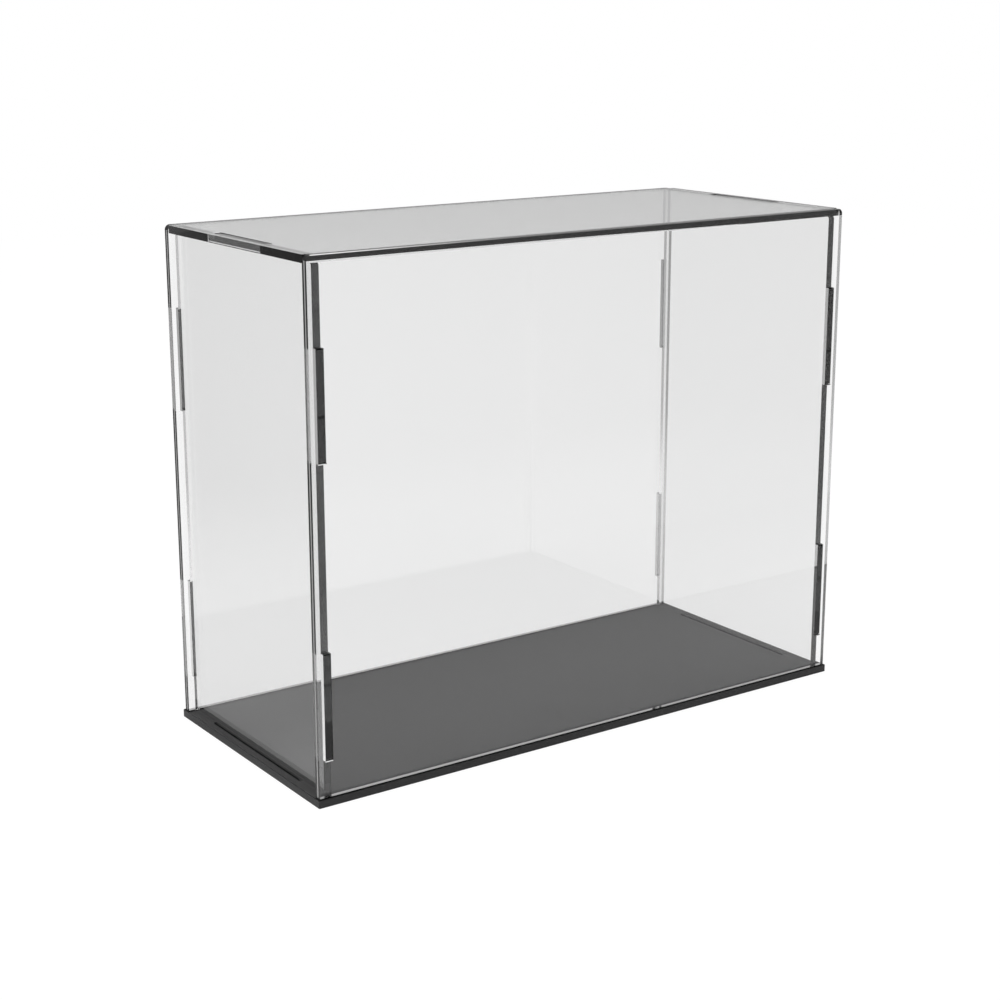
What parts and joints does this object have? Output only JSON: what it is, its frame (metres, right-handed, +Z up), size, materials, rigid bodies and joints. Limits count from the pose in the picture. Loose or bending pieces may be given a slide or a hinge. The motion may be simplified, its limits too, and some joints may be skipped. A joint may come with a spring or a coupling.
{
  "type": "acrylic display box",
  "caption": "Clear rectangular display box of slotted acrylic sheets that plug together over a dark base sheet; the cover lifts off to reach the space inside.",
  "frame": {"origin": "middle of the base sheet's underside", "axes": "+X along the long side to the right, +Y to the back, +Z up"},
  "size_m": [0.2516, 0.1116, 0.2],
  "materials": {
    "clear_acrylic": "polished clear sheet with dark polished cut edges",
    "dark_base": "satin dark sheet"
  },
  "bodies": {
    "base": {"base_plate": "dark_base"},
    "cover": {"left_panel": "clear_acrylic", "right_panel": "clear_acrylic"},
    "front": {"front_panel": "clear_acrylic"},
    "back": {"back_panel": "clear_acrylic"},
    "top": {"top_panel": "clear_acrylic"}
  },
  "joints": [
    {"name": "cover_lift", "type": "slide", "parent": "base", "child": "cover", "axis": [0, 0, 1], "range_m": [0, 0.22]},
    {"name": "front_pull", "type": "slide", "parent": "cover", "child": "front", "axis": [0, -1, 0], "range_m": [0, 0.06]},
    {"name": "back_pull", "type": "slide", "parent": "cover", "child": "back", "axis": [0, 1, 0], "range_m": [0, 0.06]},
    {"name": "top_lift", "type": "slide", "parent": "cover", "child": "top", "axis": [0, 0, 1], "range_m": [0, 0.06]}
  ]
}
